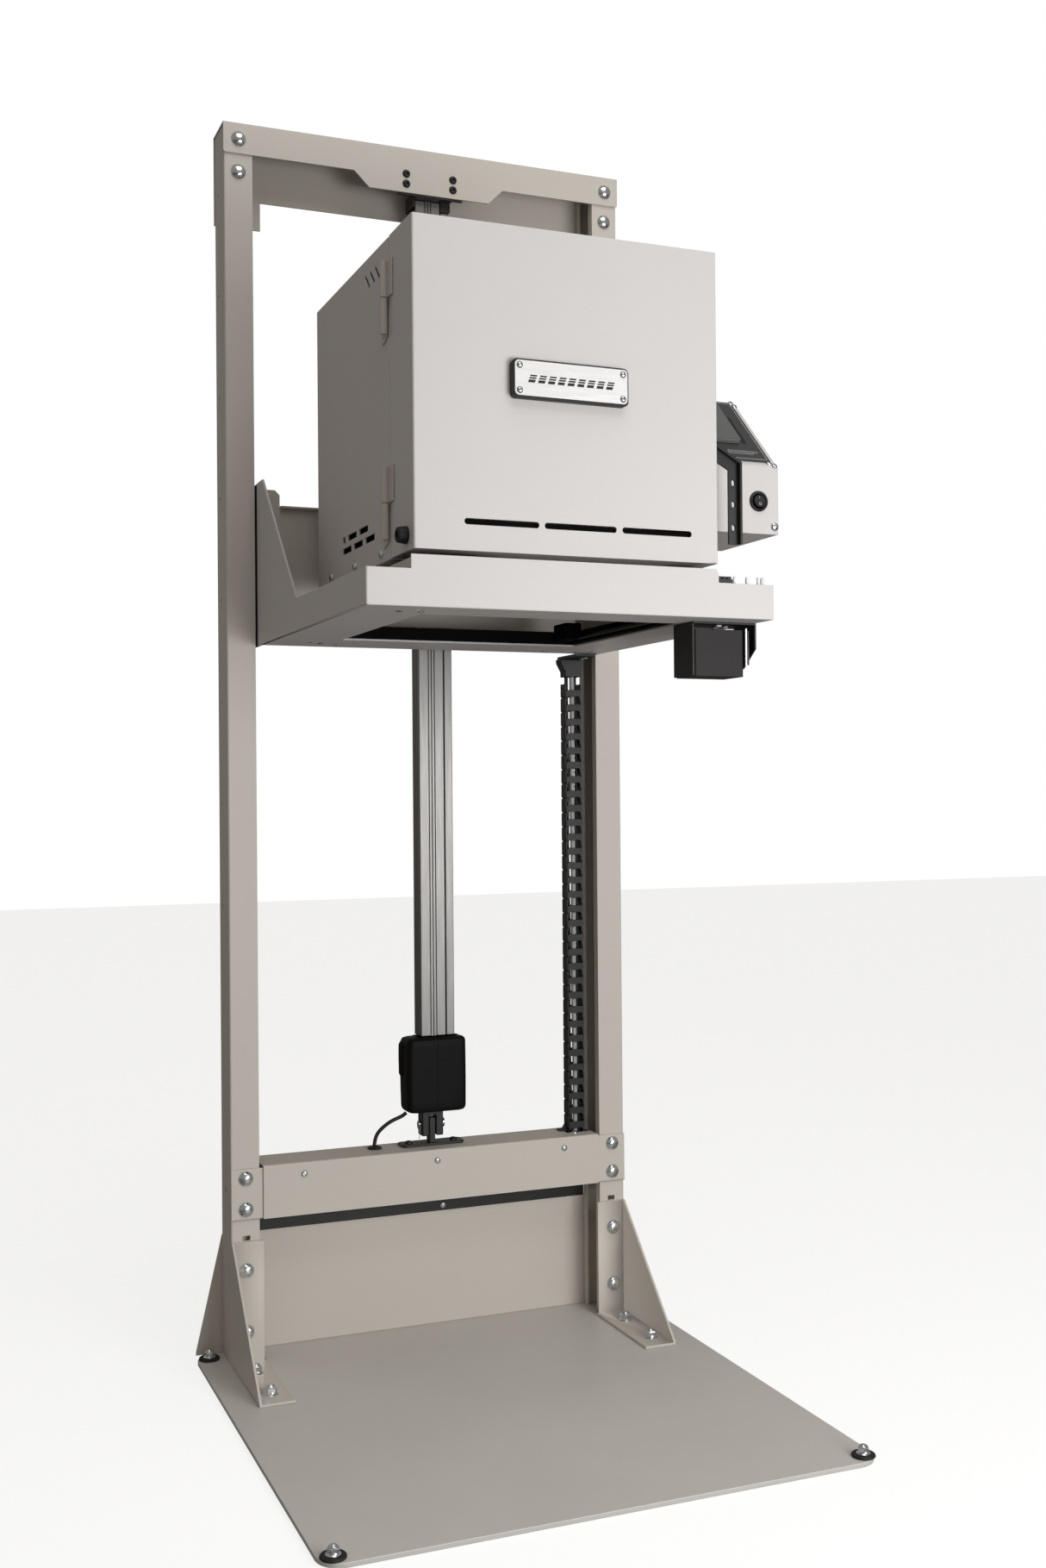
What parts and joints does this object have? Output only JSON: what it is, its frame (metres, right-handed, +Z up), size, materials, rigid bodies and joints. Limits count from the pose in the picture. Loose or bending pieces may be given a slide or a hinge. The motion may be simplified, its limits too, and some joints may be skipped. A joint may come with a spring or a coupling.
{
  "type": "lift-mounted bench oven",
  "caption": "Front-loading bench heat-treating oven with a side touch-screen controller, riding on a tray carriage that an electric column lifts between two channel uprights.",
  "frame": {"origin": "centre of the base plate underside, on the surface the lift stands on", "axes": "+Z up; +X to the right of somebody facing the oven door; +Y towards the back, so the door faces -Y"},
  "size_m": [0.61, 0.61, 1.5485],
  "materials": {
    "oven_paint": "light putty powder coat, fine orange peel, satin",
    "frame_paint": "putty powder coat, fine texture, satin",
    "base_steel": "grey hammered coat on plate steel, satin",
    "column_aluminium": "clear anodised extrusion, lengthwise grain",
    "zinc_plate": "bright zinc plate",
    "black_paint": "satin black",
    "black_plastic": "moulded black, fine grain",
    "black_rubber": "matt rubber",
    "cable_jacket": "satin black jacket",
    "dark_grey_plastic": "dark grey, satin",
    "firebrick": "porous insulating brick, dead matt",
    "heating_alloy": "oxidised resistance alloy",
    "anodised_plate": "bright satin plate"
  },
  "bodies": {
    "frame": {"actuator_column": "column_aluminium", "actuator_rail": "column_aluminium", "back_panel": "frame_paint", "base_plate": "base_steel", "cable_grommet": "black_rubber", "clevis_foot": "black_paint", "clevis_fork": "black_paint", "clevis_pin": "zinc_plate", "crossbeam_body": "frame_paint", "crossbeam_cover": "frame_paint", "drag_chain": "black_plastic", "gearmotor_housing": "black_paint", "gusset_left": "frame_paint", "gusset_right": "frame_paint", "level_pad_back_left": "black_rubber", "level_pad_back_right": "black_rubber", "level_pad_front_left": "black_rubber", "level_pad_front_right": "black_rubber", "motor_cable": "cable_jacket", "rear_filler": "black_paint", "top_beam": "frame_paint", "top_bracket": "black_paint", "upright_left": "frame_paint", "upright_right": "frame_paint"},
    "carriage": {"carriage_tray": "oven_paint", "carriage_back_wall": "frame_paint", "chain_bracket": "black_paint", "guide_bracket_left": "black_paint", "guide_bracket_right": "black_paint", "actuator_slider": "dark_grey_plastic", "oven_riser": "frame_paint", "drive_bracket": "black_paint", "drive_box": "dark_grey_plastic", "terminal_block": "black_plastic", "stud_plate": "zinc_plate", "oven_shell": "oven_paint", "oven_lining": "firebrick", "thermocouple": "heating_alloy", "element_left": "heating_alloy", "element_right": "heating_alloy", "hinge_fixed_upper": "frame_paint", "hinge_fixed_lower": "frame_paint", "controller_box": "oven_paint", "controller_panel": "black_plastic", "touch_screen": "dark_grey_plastic", "rocker_bezel": "black_plastic"},
    "door": {"hinge_moving_upper": "frame_paint", "hinge_moving_lower": "frame_paint", "door_shell": "oven_paint", "door_plug": "firebrick", "name_block": "black_plastic", "name_plate": "anodised_plate", "door_handle": "black_paint", "door_bumper": "black_rubber"},
    "rocker": {"rocker_button": "black_plastic"},
    "roller_lower_left": {"guide_roller_lower_left": "dark_grey_plastic"},
    "roller_lower_right": {"guide_roller_lower_right": "dark_grey_plastic"},
    "roller_upper_left": {"guide_roller_upper_left": "dark_grey_plastic"},
    "roller_upper_right": {"guide_roller_upper_right": "dark_grey_plastic"}
  },
  "joints": [
    {"name": "carriage_lift", "type": "slide", "parent": "frame", "child": "carriage", "axis": [0, 0, 1], "range_m": [-0.5, 0], "deforming": ["drag_chain"]},
    {"name": "door_swing", "type": "hinge", "parent": "carriage", "child": "door", "pos_m": [-0.1813, -0.129, 1.1228], "axis": [0, 0, -1], "range_deg": [0, 170]},
    {"name": "power_rocker", "type": "hinge", "parent": "carriage", "child": "rocker", "pos_m": [0.2665, -0.129, 1.044], "axis": [1, 0, 0], "range_deg": [0, 12]},
    {"name": "roller_lower_left_spin", "type": "hinge", "parent": "carriage", "child": "roller_lower_left", "pos_m": [-0.2495, 0.2745, 0.926], "axis": [1, 0, 0], "range_deg": [-0.01, 1183.81]},
    {"name": "roller_lower_right_spin", "type": "hinge", "parent": "carriage", "child": "roller_lower_right", "pos_m": [0.2495, 0.2745, 0.926], "axis": [1, 0, 0], "range_deg": [-0.01, 1183.81]},
    {"name": "roller_upper_left_spin", "type": "hinge", "parent": "carriage", "child": "roller_upper_left", "pos_m": [-0.2495, 0.2745, 1.07], "axis": [1, 0, 0], "range_deg": [-1183.81, 0.01]},
    {"name": "roller_upper_right_spin", "type": "hinge", "parent": "carriage", "child": "roller_upper_right", "pos_m": [0.2495, 0.2745, 1.07], "axis": [1, 0, 0], "range_deg": [-1183.81, 0.01]}
  ],
  "couplings": [
    {"joint": "roller_lower_left_spin", "follows": "carriage_lift", "rad_per_m": -41.322},
    {"joint": "roller_lower_right_spin", "follows": "carriage_lift", "rad_per_m": -41.322},
    {"joint": "roller_upper_left_spin", "follows": "carriage_lift", "rad_per_m": 41.322},
    {"joint": "roller_upper_right_spin", "follows": "carriage_lift", "rad_per_m": 41.322}
  ]
}
